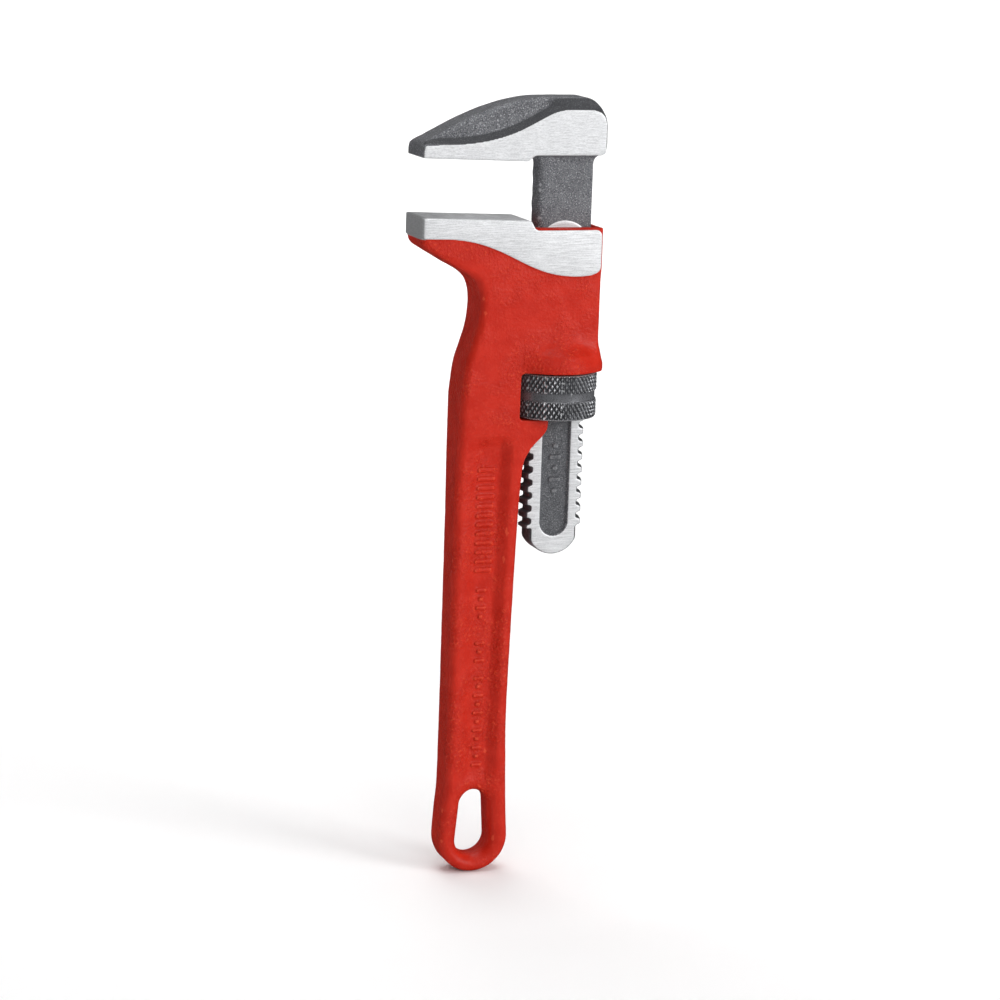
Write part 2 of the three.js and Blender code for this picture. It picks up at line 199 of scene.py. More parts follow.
def housing_outline():
    return np.concatenate([
        line((THROAT_X, fixed_face(THROAT_X)), (THROAT_X + 1.4, HEAD_TOP + 1.2),
             (THROAT_X + 2.8, HEAD_TOP)),
        line((HEAD_BACK, HEAD_TOP), (HEAD_BACK, -8.0), (-4.8, -8.0), (-4.9, -12.0)),
        bezier((-4.9, -12.0), (-5.6, -17), (-13.2, -19), (-13.6, -27))[1:],
        spline((-13.6, -27), (-14.8, -51.5), (-16.2, -100), (-16.7, -130), (-15.9, -155),
               (RING_X + RING_RADIUS, RING_Z))[1:],
        arc(RING_X, RING_Z, RING_RADIUS, 0, -180, 60)[1:],
        spline((RING_X - RING_RADIUS, RING_Z), (-42.5, -165), (-41.5, -153), (-41.2, -130))[1:],
        line((-41.1, -30)),
        spline((-40.4, 0), (-39.1, 11.5), (-36.8, 19.3), (-34.6, 27), (-33.8, 35.5),
               (-34.9, 42), (-38, 46.2), (-45, 50.2)),
        bezier((-54.4, 55.7), (-56.9, 57.1), (NOSE_X, 58.2), (NOSE_X, 61), 12),
        line((NOSE_X, fixed_face(NOSE_X))),
    ])


def ground_outline():
    """The bare ground side face of the fixed jaw and head, over an S-shaped lower edge."""
    return np.concatenate([
        line((NOSE_X, fixed_face(NOSE_X)), (NOSE_X, 60.7), (-50, 60.6)),
        bezier((-50, 60.6), (-24, 60.2), (-18, 45.9), (4, 45.9), 40)[1:],
        bezier((4, 45.9), (10, 45.9), (13.5, 46.8), (13.5, 50))[1:],
        arc(10.9, HEAD_TOP - 3.3, 2.6, 0, 90, 10),
        line((THROAT_X + 4, HEAD_TOP - 0.7)),
        bezier((THROAT_X + 4, HEAD_TOP - 0.7), (THROAT_X + 1.5, HEAD_TOP - 0.7),
               (THROAT_X + 1.8, fixed_face(THROAT_X)), (THROAT_X, fixed_face(THROAT_X)), 10)[1:],
    ])


def hang_hole_outline():
    return np.concatenate([arc(-29, -162.5, 6.2, 0, 180), arc(-29.2, -176.6, 7.3, 180, 360)])


def hook_outline():
    return np.concatenate([
        line((NOSE_X, hook_face(NOSE_X)), (THROAT_X - 1, hook_face(THROAT_X - 1))),
        bezier((THROAT_X - 1, hook_face(THROAT_X - 1)), (THROAT_X + 1, HOOK_UNDERSIDE - 1),
               (THROAT_X + 1, HOOK_UNDERSIDE), (THROAT_X + 3, HOOK_UNDERSIDE), 10)[1:],
        bezier((HOOK_BACK - 3, HOOK_UNDERSIDE), (HOOK_BACK - 1, HOOK_UNDERSIDE + 0.6),
               (HOOK_BACK, HOOK_UNDERSIDE + 2.5), (HOOK_BACK, HOOK_UNDERSIDE + 5), 12),
        bezier((HOOK_BACK, 101), (HOOK_BACK, 107), (11.5, HOOK_TOP), (5.5, HOOK_TOP)),
        bezier((-9, HOOK_TOP), (-24, HOOK_TOP - 0.2), (-40, 106.5), (-55.8, 97.3), 40),
        bezier((-55.8, 97.3), (-57.6, 96.3), (NOSE_X, 95.2), (NOSE_X, 93), 8)[1:],
    ])


def hook_pad_outline():
    """The ground side face of the hook jaw, under an S-shaped upper edge."""
    low = 85.0
    return np.concatenate([
        line((NOSE_X - 4, low), (14, low), (14, 103)),
        bezier((14, 103), (14, 107), (11, 108.6), (7, 108.6))[1:],
        bezier((-1, 108.6), (-13, 108.6), (-17, 95.8), (-50, 95.5), 40),
        line((-56.8, 95.3), (NOSE_X - 4, 95)),
    ])


# ---- distance fields ----
class Samples:
    """Evenly spaced sample points over a box and a margin around it."""

    def __init__(self, low, high):
        low, high = [v - MARGIN for v in low], [v + MARGIN for v in high]
        self.low = np.array(low, np.float32)
        counts = [int(math.ceil((b - a) / VOXEL)) + 1 for a, b in zip(low, high)]
        self.x, self.y, self.z = (a + VOXEL * np.arange(n, dtype=np.float32)
                                  for a, n in zip(self.low, counts))

    def part(self, x=None, y=None, z=None):
        """Index slices of the sample points between the given limits."""
        slices = []
        for values, limits in ((self.x, x), (self.y, y), (self.z, z)):
            if limits is None:
                slices.append(slice(None))
            else:
                slices.append(slice(*np.searchsorted(values, limits)))
        return tuple(slices)

    def values(self, where):
        """The x, y and z values of one part."""
        return self.x[where[0]], self.y[where[1]], self.z[where[2]]


def outline_distance(outline, x, z):
    """Signed distance from each (x, z) to a closed outline, negative inside."""
    px, pz = np.meshgrid(x, z, indexing="ij")
    best = np.full(px.shape, 1e9, np.float32)
    inside = np.zeros(px.shape, bool)
    for (ax, az), (bx, bz) in zip(outline, np.roll(outline, -1, axis=0)):
        ex, ez = bx - ax, bz - az
        if ex == 0 and ez == 0:
            continue
        wx, wz = px - ax, pz - az
        t = np.clip((wx * ex + wz * ez) / (ex * ex + ez * ez), 0, 1)
        best = np.minimum(best, (wx - t * ex) ** 2 + (wz - t * ez) ** 2)
        if ez != 0:
            inside ^= ((az > pz) != (bz > pz)) & (px < ax + (pz - az) * ex / ez)
    return np.where(inside, -1, 1).astype(np.float32) * np.sqrt(best)


def smooth_step(low, high, value):
    """0 at low, 1 at high and a soft step between; low may be the larger of the two."""
    t = np.clip((value - low) / (high - low), 0, 1)
    return t * t * (3 - 2 * t)


def join(a, b, blend):
    """Union of two fields with a fillet of about `blend`."""
    h = np.clip(0.5 + 0.5 * (b - a) / blend, 0, 1)
    return b + (a - b) * h - blend * h * (1 - h)


def cut(a, b, blend):
    """Field a with b taken away, its new edges rounded by about `blend`."""
    return -join(-a, b, blend)


def plate(distance, half, y, radius):
    """The solid inside a 2-D outline distance and within `half` of the middle plane."""
    radius = np.broadcast_to(np.asarray(radius, np.float32), distance.shape)
    a = (distance + radius)[:, None, :]
    b = np.abs(y)[None, :, None] - (half - radius)[:, None, :]
    outside = np.sqrt(np.maximum(a, 0) ** 2 + np.maximum(b, 0) ** 2)
    return outside + np.minimum(np.maximum(a, b), 0) - radius[:, None, :]


def block(s, where, low, high, radius=0.4):
    """A box with rounded edges, sampled on part of the samples."""
    gaps = []
    for values, a, b in zip(s.values(where), low, high):
        gaps.append(np.abs(values - (a + b) / 2) - (b - a) / 2 + radius)
    gx, gy, gz = gaps[0][:, None, None], gaps[1][None, :, None], gaps[2][None, None, :]
    outside = np.sqrt(np.maximum(gx, 0) ** 2 + np.maximum(gy, 0) ** 2 + np.maximum(gz, 0) ** 2)
    return outside + np.minimum(np.maximum(np.maximum(gx, gy), gz), 0) - radius


def turned(s, where, profile):
    """A solid turned about the shank's axis from a closed (radius, height) outline."""
    x, y, z = s.values(where)
    rho = np.hypot(x[:, None], y[None, :])
    radii = np.arange(0, rho.max() + 1, 0.25, dtype=np.float32)
    table = outline_distance(profile, radii, z)
    return np.stack([np.interp(rho, radii, table[:, k]) for k in range(len(z))], 2)


def trim(field, s):
    """Cuts the field off flat at the jaws' front ends and at the collar's back."""
    return np.maximum(field, np.maximum(NOSE_X - s.x, s.x - COLLAR_RADIUS)[:, None, None])


def soft_noise(s, wave, seed):
    """Smooth random values from -1 to 1 that change over about `wave` millimetres."""
    rng = np.random.default_rng(seed)
    index, share = [], []
    for values in (s.x, s.y, s.z):
        place = (values - values[0]) / wave
        index.append(place.astype(int))
        t = place - place.astype(int)
        share.append((t * t * (3 - 2 * t)).astype(np.float32))
    lattice = rng.uniform(-1, 1, [i[-1] + 2 for i in index]).astype(np.float32)
    for axis, (i, t) in enumerate(zip(index, share)):
        shape = [1, 1, 1]
        shape[axis] = len(t)
        t = t.reshape(shape)
        lattice = np.take(lattice, i, axis) * (1 - t) + np.take(lattice, i + 1, axis) * t
    return lattice


def mesh_object(name, vertices, faces, body, node, material):
    """A piece in the shared frame from millimetre points about the shank's axis."""
    mesh = bpy.data.meshes.new(name)
    mesh.from_pydata((np.asarray(vertices) * MM + AXIS).tolist(), [], np.asarray(faces).tolist())
    mesh.validate()
    mesh.polygons.foreach_set("use_smooth", [True] * len(mesh.polygons))
    mesh.materials.append(material)
    piece = bpy.data.objects.new(name, mesh)
    bpy.context.scene.collection.objects.link(piece)
    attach(piece, body)
    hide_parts(node)
    return piece


def thin_out(piece):
    """Keeps a dense mesh under the triangle limit by collapsing its shortest edges."""
    triangles = sum(len(p.vertices) - 2 for p in piece.data.polygons)
    if triangles <= FACE_LIMIT:
        return
    modifier = piece.modifiers.new("thin", "DECIMATE")
    modifier.ratio = FACE_LIMIT / triangles
    graph = bpy.context.evaluated_depsgraph_get()
    mesh = bpy.data.meshes.new_from_object(piece.evaluated_get(graph))
    piece.modifiers.clear()
    piece.data = mesh


def field_piece(name, field, s, body, node, material):
    """Meshes the zero surface of a distance field."""
    band = 3 * VOXEL
    level = openvdb.FloatGrid(band)
    level.copyFromArray(np.clip(field, -band, band).astype(np.float32))
    points, quads = level.convertToQuads(0.0)
    a, b, c = (points[quads[:, k]] for k in (0, 1, 2))
    if np.einsum("ij,ij->", a.astype(float), np.cross(b, c)) < 0:
        quads = quads[:, ::-1]                  # faces look outwards
    thin_out(mesh_object(name, points * VOXEL + s.low, quads, body, node, material))


# ---- raised marks cast on the handle and the shank: plain bars ----
def bar(px, pz, x, z, half_x, half_z):
    """Distance to a bar with round ends, negative inside."""
    radius = min(half_x, half_z)
    gx = np.maximum(np.abs(px - x) - half_x + radius, 0)
    gz = np.maximum(np.abs(pz - z) - half_z + radius, 0)
    return np.hypot(gx, gz) - radius


def bars(px, pz, x, top, step, half_lengths, half_height):
    """Bars one below another from the height `top`; a half length of 0 leaves a gap."""
    marks = np.full(px.shape, FAR, np.float32)
    for k, half_x in enumerate(half_lengths):
        if half_x > 0:
            marks = np.minimum(marks, bar(px, pz, x, top - step * k, half_x, half_height))
    return marks


def raised(marks):
    """Share of a mark's height, with softened sides."""
    return smooth_step(0.25, -0.25, marks)


def handle_marks(px, pz):
    """Down the handle's pocket: a block of long bars, then groups of short ones."""
    short = [1.0 if k % 2 else 2.1 for k in range(21)]
    for gap in (4, 5, 9):
        short[gap] = 0
    long_bars = bars(px, pz, -28.4, -28.5, 3.6, [3.7] * 12, 0.85)
    return np.minimum(long_bars, bars(px, pz, -28.7, -76.0, 3.5, short, 0.75))


def shank_marks(px, pz):
    return bars(px, pz, PANEL_X, -20.5, 4.4, (1.1, 2.4, 1.1, 2.4, 1.1), 0.9)


def nose_setback(px, radius):
    """How far a jaw's sides curve in at its front end."""
    reach = radius - np.clip(px - NOSE_X, 0, radius)
    return radius - np.sqrt(np.maximum(radius ** 2 - reach ** 2, 0))


# ---- housing ----
def housing_half(px, pz):
    """Half thickness of the casting: head, slimmer handle with its pockets and marks, ring."""
    half = HEAD_HALF - (HEAD_HALF - HANDLE_HALF) * smooth_step(4, -45, pz)
    half = half - (HANDLE_HALF - RING_HALF) * smooth_step(-140, -165, pz)
    back = POCKET_BACK - POCKET_TAPER * np.clip((-20 - pz) / 130, 0, 1) - px
    front = px - POCKET_FRONT
    pocket = smooth_step(0.5, 5.8, back) * smooth_step(0, 10.0, front)
    pocket = pocket * smooth_step(*POCKET_TOP, pz) * smooth_step(*POCKET_FOOT, pz)
    half = half - POCKET_DEPTH * pocket
    half = half + MARK_HEIGHT * raised(handle_marks(px, pz))
    return half - nose_setback(px, FIXED_NOSE_RADIUS)


def housing_radius(px, pz):
    """Edge radius: large on neck, handle and ring, small around the ground jaw and window."""
    radius = HANDLE_EDGE - HEAD_FINER * smooth_step(44, 50, pz)
    radius = radius - BACK_FINER * smooth_step(-8, 6, px) * smooth_step(-20, -10, pz)
    near_ground = smooth_step(4.5, 0.5, np.abs(pz - fixed_face(px))) * smooth_step(-10, -14, px)
    radius = radius + (JAW_EDGE - radius) * near_ground
    head_top = smooth_step(3.5, 1, HEAD_TOP - pz) * smooth_step(-14, -12, px)
    radius = radius + (HEAD_TOP_EDGE - radius) * head_top
    cheek = smooth_step(-18, -12, px) * smooth_step(-30, -22, pz) * smooth_step(-6, -10, pz)
    return radius + (CHEEK_EDGE - radius) * cheek


def collar_field(s, where):
    """The half-round collar above the nut: a smaller profile grown by its edge radius."""
    foot, radius = WINDOW_HALF + COLLAR_EDGE - 0.4, COLLAR_RADIUS - COLLAR_EDGE
    profile = line((0, foot), (radius, foot), (radius, foot + 1.2), (radius - 1.6, foot + 4.2),
                   (8.5, foot + 8.8), (0, foot + 8.8))
    front = -15.2 - s.x[where[0]]
    return np.maximum(turned(s, where, profile) - COLLAR_EDGE, front[:, None, None])


def window_field(s, where):
    """The nut's window: open to the back, with round corners at its front."""
    gx = (WINDOW_LEFT + WINDOW_CORNER - s.x[where[0]])[:, None]
    gz = (np.abs(s.z[where[2]]) - WINDOW_HALF + WINDOW_CORNER)[None, :]
    outside = np.hypot(np.maximum(gx, 0), np.maximum(gz, 0))
    opening = outside + np.minimum(np.maximum(gx, gz), 0) - WINDOW_CORNER
    return opening[:, None, :]


def spring_room(s, where):
    """The flat spring's recess in the front of the passage, and the coil spring's round bore."""
    recess = block(s, where, (RECESS_X[0], -RECESS_HALF_Y, SPRING_Z - RECESS_HALF_Z),
                   (RECESS_X[1], RECESS_HALF_Y, SPRING_Z + RECESS_HALF_Z))
    x, y, z = s.values(where)
    bore = np.hypot(y[:, None], z[None, :] - SPRING_Z)[None] - BORE_RADIUS
    ends = np.maximum(BORE_X[0] - x, x - BORE_X[1])
    return np.minimum(recess, np.maximum(bore, ends[:, None, None]))


def housing_field(s):
    px, pz = np.meshgrid(s.x, s.z, indexing="ij")
    outline = outline_distance(housing_outline(), s.x, s.z)
    ground = outline_distance(ground_outline(), s.x, s.z)
    field = plate(outline, housing_half(px, pz), s.y, housing_radius(px, pz))
    rough = np.clip(smooth_step(47, 44, pz) + smooth_step(-0.2, 0.8, ground), 0, 1)
    texture = 0.105 + 0.06 * soft_noise(s, 6.0, 11) + 0.035 * soft_noise(s, 2.1, 12)
    field += rough[:, None, :] * texture

    top = s.part(z=(40, 80))
    half = GROUND_HALF - nose_setback(px[:, top[2]], FIXED_NOSE_RADIUS)
    field[top] = join(field[top], plate(ground[:, top[2]], half, s.y, GROUND_EDGE), 0.5)
    neck = s.part(x=(-26, 30), z=(0, 36))
    field[neck] = join(field[neck], collar_field(s, neck), 5.0)

    ring = s.part(z=(-191, -145))
    hole = outline_distance(hang_hole_outline(), s.x, s.z[ring[2]])[:, None, :]
    field[ring] = cut(field[ring], hole + 0.55, 5.5)
    window = s.part(x=(-26, 30), z=(-16, 16))
    field[window] = cut(field[window], window_field(s, window), 0.4)
    passage = s.part(x=(-18, 20), y=(-9, 9), z=(-64, 80))
    through = block(s, passage, (-SLOT_HALF_X, -SLOT_HALF_Y, -90), (SLOT_HALF_X, SLOT_HALF_Y, 120))
    field[passage] = cut(field[passage], through, 0.7)
    room = s.part(x=(-30, -8), y=(-9, 9), z=(SPRING_Z - 26, SPRING_Z + 26))
    field[room] = cut(field[room], spring_room(s, room), 0.5)
    return trim(field, s)


# ---- hook jaw ----
def hook_half(x, z, px, pz, outline):
    """Half thickness of the hook: ground pad below, slimmer rimmed web above, shoulder behind."""
    pad = -outline_distance(hook_pad_outline(), x, z)
    climb = np.clip((pad + 3.6) / 3.6, 0, 1) ** 1.3
    half = HOOK_WEB_HALF + 1.9 * smooth_step(-15, 0, px) * smooth_step(102, 109, pz)
    half = np.maximum(half, HOOK_WEB_HALF + (HOOK_HALF - 0.25 - HOOK_WEB_HALF) * climb)
    half = np.where(pad > 0, HOOK_HALF, half)
    rim = smooth_step(-2.6, -1.9, outline) * smooth_step(96, 98, pz) * smooth_step(2, -6, px)
    half = np.maximum(half, HOOK_WEB_HALF + HOOK_RIM * rim)
    return half - nose_setback(px, HOOK_NOSE_RADIUS)


def hook_radius(px, pz):
    """Edge radius of the hook: small at the jaw face and underside, large over the top."""
    radius = 0.5 + 0.6 * smooth_step(92.5, 94.5, pz) + 0.4 * smooth_step(95, 101, pz)
    return radius + 1.0 * smooth_step(-14, 0, px) * smooth_step(108, 111, pz)


def tooth_table():
    """Distance across one tooth of the thread, by height through the pitch and by radius."""
    step = 0.1
    heights = np.arange(0, PITCH + 2 * step, step, dtype=np.float32)
    radii = np.arange(0, 26, step, dtype=np.float32)
    root = THREAD_RADIUS - THREAD_DEPTH
    corners = []
    for turn in range(-2, 4):
        z = turn * PITCH
        corners += [(z, root), (z + THREAD_FLANK, THREAD_RADIUS),
                    (z + THREAD_FLANK + THREAD_CREST, THREAD_RADIUS),
                    (z + 2 * THREAD_FLANK + THREAD_CREST, root)]
    corners += [(4 * PITCH, root), (4 * PITCH, -20), (-3 * PITCH, -20), (-3 * PITCH, root)]
    return outline_distance(np.array(corners), heights, radii), step


def thread_phase(z, angle):
    """Height above the foot of the tooth below, at heights and angles about the axis."""
    start = THREAD_BOTTOM - THREAD_CREST / 2 - THREAD_FLANK - 1.5 * PITCH
    return np.mod(z - start - PITCH * angle / (2 * math.pi), PITCH)


def thread_field(x, y, z):
    table, step = tooth_table()
    rho = np.hypot(x[:, None], y[None, :])[:, :, None]
    angle = np.arctan2(y[None, :], x[:, None])[:, :, None]
    row = thread_phase(z[None, None, :], angle) / step
    column = np.clip(rho / step, 0, table.shape[1] - 2)
    i, j = row.astype(int), column.astype(int)
    u, v = row - i, column - j
    near = table[i, j] * (1 - v) + table[i, j + 1] * v
    far = table[i + 1, j] * (1 - v) + table[i + 1, j + 1] * v
    return near * (1 - u) + far * u


def plain_shank(x, y, z, px, pz):
    """The shank above its thread: a forged bar with its faces ground flat up to an arch."""
    front, back, low, high = -SHANK_HALF_WIDTH, SHANK_BACK, THREAD_TOP - 6, HOOK_UNDERSIDE + 4
    wide, centre = (back - front) / 2, (back + front) / 2
    sides = line((front, low), (back, low), (back, high), (front, high))
    flash = 1.6 + 0.5 * np.sin(0.8 * pz) * np.sin(0.31 * pz + 1)
    radius = 0.8 + flash * smooth_step(6, -2, px)
    forged = plate(outline_distance(sides, x, z), FORGED_HALF, y, radius)
    arch = np.concatenate([line((front, low), (back, low)), arc(centre, ARCH_Z, wide, 0, 180)])
    ground = plate(outline_distance(arch, x, z), SHANK_HALF, y, GROUND_EDGE)
    return join(forged, ground, 0.3)


def threaded_shank(x, y, z):
    """The thread between two ground flats, and the round tip below it."""
    flat = (np.abs(y) - SHANK_HALF)[None, :, None]
    above = (z - THREAD_BOTTOM)[None, None, :]
    thread = np.maximum(np.maximum(thread_field(x, y, z), flat), -above)
    root = THREAD_RADIUS - THREAD_DEPTH
    rho = np.hypot(x[:, None], y[None, :])[:, :, None]
    tip = np.hypot(x[:, None, None], np.minimum(above, 0)) - root
    tip = np.maximum(np.maximum(tip, rho - root), above - 1)
    return np.minimum(thread, cut(tip, -flat, 0.8))


def shank_field(x, y, z):
    """The shank: forged and plain above, ground flat and threaded below, with a sunk panel."""
    px, pz = np.meshgrid(x, z, indexing="ij")
    share = smooth_step(THREAD_TOP + 0.4, THREAD_TOP - 0.4, z)[None, None, :]
    body = plain_shank(x, y, z, px, pz) * (1 - share) + threaded_shank(x, y, z) * share

    middle, half_length = (PANEL_LOW + PANEL_HIGH) / 2, (PANEL_HIGH - PANEL_LOW) / 2
    past_end = np.maximum(np.abs(pz - middle) - half_length, 0)
    inside = PANEL_HALF_WIDTH - np.hypot(px - PANEL_X, past_end)
    depth = PANEL_DEPTH * smooth_step(-0.1, 1.1, inside)
    depth = depth - MARK_HEIGHT * raised(shank_marks(px, pz))
    sunk = 0.8 * (np.abs(y)[None, :, None] - (SHANK_HALF - depth)[:, None, :])
    return np.where(inside[:, None, :] > -0.3, np.maximum(body, sunk), body)


def hook_field(s):
    px, pz = np.meshgrid(s.x, s.z, indexing="ij")
    field = np.full((len(s.x), len(s.y), len(s.z)), FAR, np.float32)
    head = s.part(z=(84, 130))
    hx, hz = px[:, head[2]], pz[:, head[2]]
    outline = outline_distance(hook_outline(), s.x, s.z[head[2]])
    half = hook_half(s.x, s.z[head[2]], hx, hz, outline)
    field[head] = plate(outline, half, s.y, hook_radius(hx, hz))
    scale = outline_distance(hook_pad_outline(), s.x, s.z)
    scale = smooth_step(-0.2, 0.5, scale) * smooth_step(91, 93, pz)
    noise = 0.085 + 0.05 * soft_noise(s, 4.0, 21) + 0.03 * soft_noise(s, 1.8, 22)
    field += scale[:, None, :] * noise

    shank = s.part(x=(-20, 20), y=(-8, 8), z=(-70, 100))
    field[shank] = join(field[shank], shank_field(*s.values(shank)), 4.0)
    return trim(field, s)


# ---- nut ----
def nut_rows():
    """Rows of the nut's surface from the bore's foot, round the outside, back into the bore.

    Each row is a radius, a height, whether it is knurled and whether it is threaded.
    """
    root = THREAD_RADIUS - THREAD_DEPTH + NUT_CLEARANCE
    mouth = THREAD_RADIUS + NUT_CLEARANCE + 0.5
    rim = NUT_RADIUS - NUT_CHAMFER
    rows = []
    for radius, rise in ((mouth, 0), (NUT_FACE_RADIUS, 0), (rim - 0.25, 0), (rim, 0.06),
                         (NUT_RADIUS - 0.3, 0.42)):
        rows.append((radius, -NUT_HALF + rise, False, False))
    for k in range(KNURL_ROWS + 1):
        rows.append((NUT_RADIUS - 0.05, -NUT_HALF + NUT_CHAMFER + k * KNURL_RISE, True, False))
    for drop, rise in ((0.5, 0.25), (0.72, 0.45), (GROOVE_DEPTH, 0.7), (GROOVE_DEPTH, GROOVE_HALF)):
        rows.append((NUT_RADIUS - drop, -GROOVE_HALF + rise, False, False))
    outer = rows + [(radius, -z, knurled, False) for radius, z, knurled, _ in rows[-2::-1]]
    inner = [(root, z, False, True) for z in np.arange(NUT_HALF - 0.5, -NUT_HALF + 0.4, -0.25)]
    return outer + inner


def nut_mesh():
    angles = 2 * math.pi * np.arange(KNURL_COLUMNS) / KNURL_COLUMNS
    points = []
    for radius, z, knurled, threaded in nut_rows():
        rho = np.full(KNURL_COLUMNS, radius)
        if knurled:
            u = np.arange(KNURL_COLUMNS) / KNURL_STEPS
            v = z / (KNURL_RISE * KNURL_STEPS)
            first = 1 - np.abs(2 * np.mod(u + v, 1) - 1)
            second = 1 - np.abs(2 * np.mod(u - v, 1) - 1)
            rho = rho - KNURL_DEPTH * (1 - np.minimum(1.25 * np.minimum(first, second), 1))
        if threaded:
            tooth = (0, THREAD_FLANK, THREAD_FLANK + THREAD_CREST, 2 * THREAD_FLANK + THREAD_CREST)
            rho = radius + THREAD_DEPTH * np.interp(thread_phase(z, angles), tooth, (0, 1, 1, 0))
        ring = [rho * np.cos(angles), rho * np.sin(angles), np.full_like(rho, z)]
        points.append(np.stack(ring, 1))
    here = np.arange(len(points) * KNURL_COLUMNS).reshape(len(points), KNURL_COLUMNS)
    right = np.roll(here, -1, axis=1)
    above, above_right = np.roll(here, -1, axis=0), np.roll(right, -1, axis=0)
    faces = np.stack([corner.ravel() for corner in (here, right, above_right, above)], 1)
    return np.concatenate(points), faces


# ---- materials: colours are the 0 to 255 values of a screen colour ----
ENAMEL_DARK = (182, 33, 17)
ENAMEL_LIGHT = (191, 40, 24)
ENAMEL_PAINTED_GLINT = (222, 78, 46)
ENAMEL_PIT = (140, 18, 8)
ENAMEL_HOLLOW_SHADE = (120, 12, 6)
ENAMEL_EDGE_HIGHLIGHT = (222, 84, 56)
ENAMEL_DUST = (110, 12, 6)
GROUND_STEEL = (229, 230, 232)
DARKER_NOSE_STEEL = (84, 85, 87)
SCALE_DARK = (96, 97, 101)
SCALE_LIGHT = (110, 111, 115)
SCALE_GLINT = (182, 183, 186)
SCALE_PIT = (48, 49, 52)
SCALE_HOLLOW_SHADE = (24, 25, 27)
SCALE_EDGE_HIGHLIGHT = (190, 191, 194)
SCALE_SHADE_AND_DARK = (52, 53, 56)
BLACKING_DARK = (70, 71, 74)
BLACKING_LIGHT = (98, 99, 103)
BLACKING_GROOVE_TONE = (132, 133, 137)
BLACKING_HOLLOW_SHADE = (26, 27, 29)
BLACKING_EDGE_WEAR_AND_GLINT = (216, 217, 220)
SPRING_STEEL = (138, 140, 144)
RIVET_STEEL = (155, 157, 161)
PAPER = (250, 250, 250)
BARE_METALLIC = 0.28


def add(tree, kind, inputs=None, **settings):
    """A shader node with its inputs set, or linked where a value is a socket."""
    node = tree.nodes.new(kind)
    for name, value in settings.items():
        setattr(node, name, value)
    for key, value in (inputs or {}).items():
        if isinstance(value, bpy.types.NodeSocket):
            tree.links.new(value, node.inputs[key])
        else:
            node.inputs[key].default_value = value
    return node


def linear(colour):
    """A screen colour as the linear colour of a shader."""
    channel = [v / 255 for v in colour]
    return [v / 12.92 if v <= 0.04045 else ((v + 0.055) / 1.055) ** 2.4 for v in channel] + [1.0]


def shade(colour, change):
    return tuple(v + change for v in colour)


